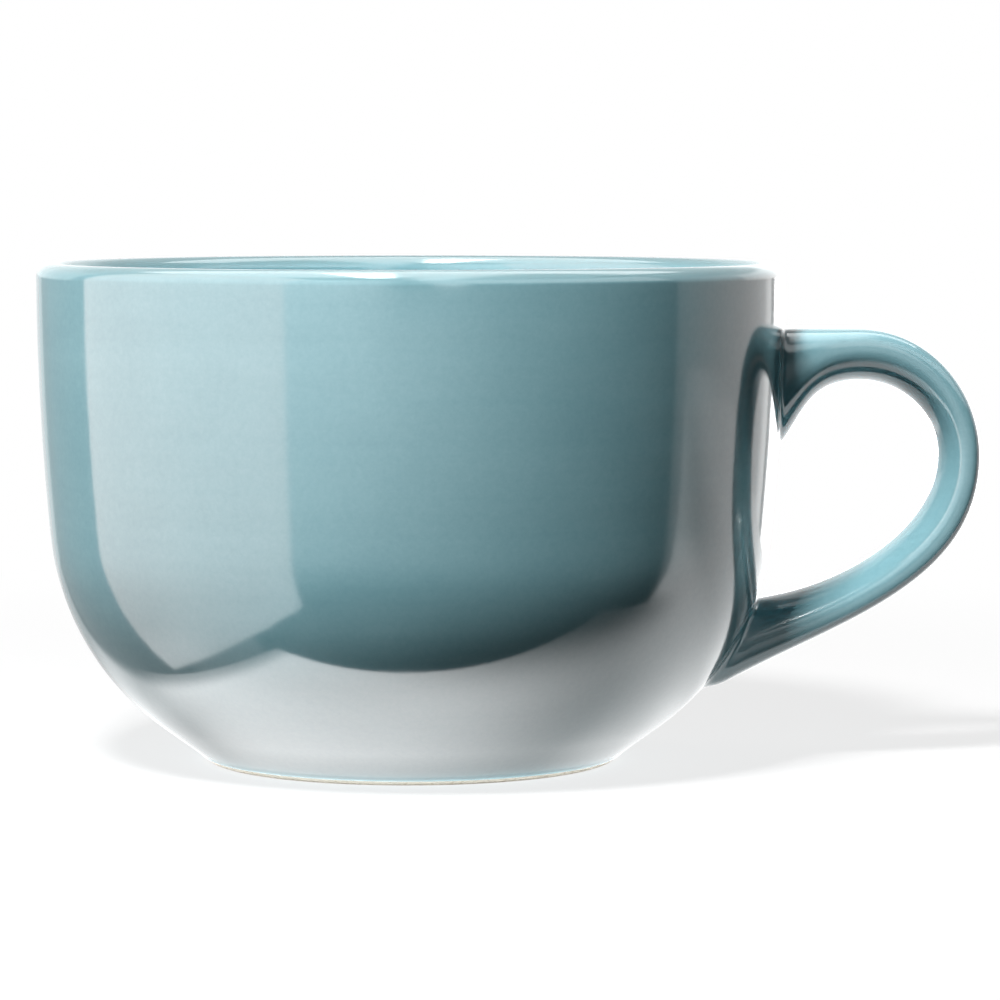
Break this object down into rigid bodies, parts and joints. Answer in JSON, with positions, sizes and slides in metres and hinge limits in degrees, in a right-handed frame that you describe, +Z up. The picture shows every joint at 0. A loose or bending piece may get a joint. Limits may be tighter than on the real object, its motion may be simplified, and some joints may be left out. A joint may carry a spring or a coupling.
{
  "type": "soup mug",
  "caption": "Wide round-bellied stoneware soup mug with an ear-shaped side handle, glossy teal glaze inside and out, and a bare foot ring to stand on.",
  "frame": {"origin": "centre of the foot ring on the plane that the mug stands on", "axes": "+Z up along the bowl's axis, +X towards the handle, the handle's middle plane is Y = 0"},
  "size_m": [0.164, 0.13, 0.0868],
  "materials": {
    "clay": "matte",
    "slip": "matte",
    "teal_glaze": "gloss",
    "liner_glaze": "gloss"
  },
  "bodies": {
    "root": {"bowl": "clay", "handle": "clay", "upper_slip_joint": "slip", "lower_slip_joint": "slip", "outer_glaze": "teal_glaze", "liner_glaze": "liner_glaze", "base_glaze": "teal_glaze", "handle_glaze": "teal_glaze"}
  },
  "joints": []
}
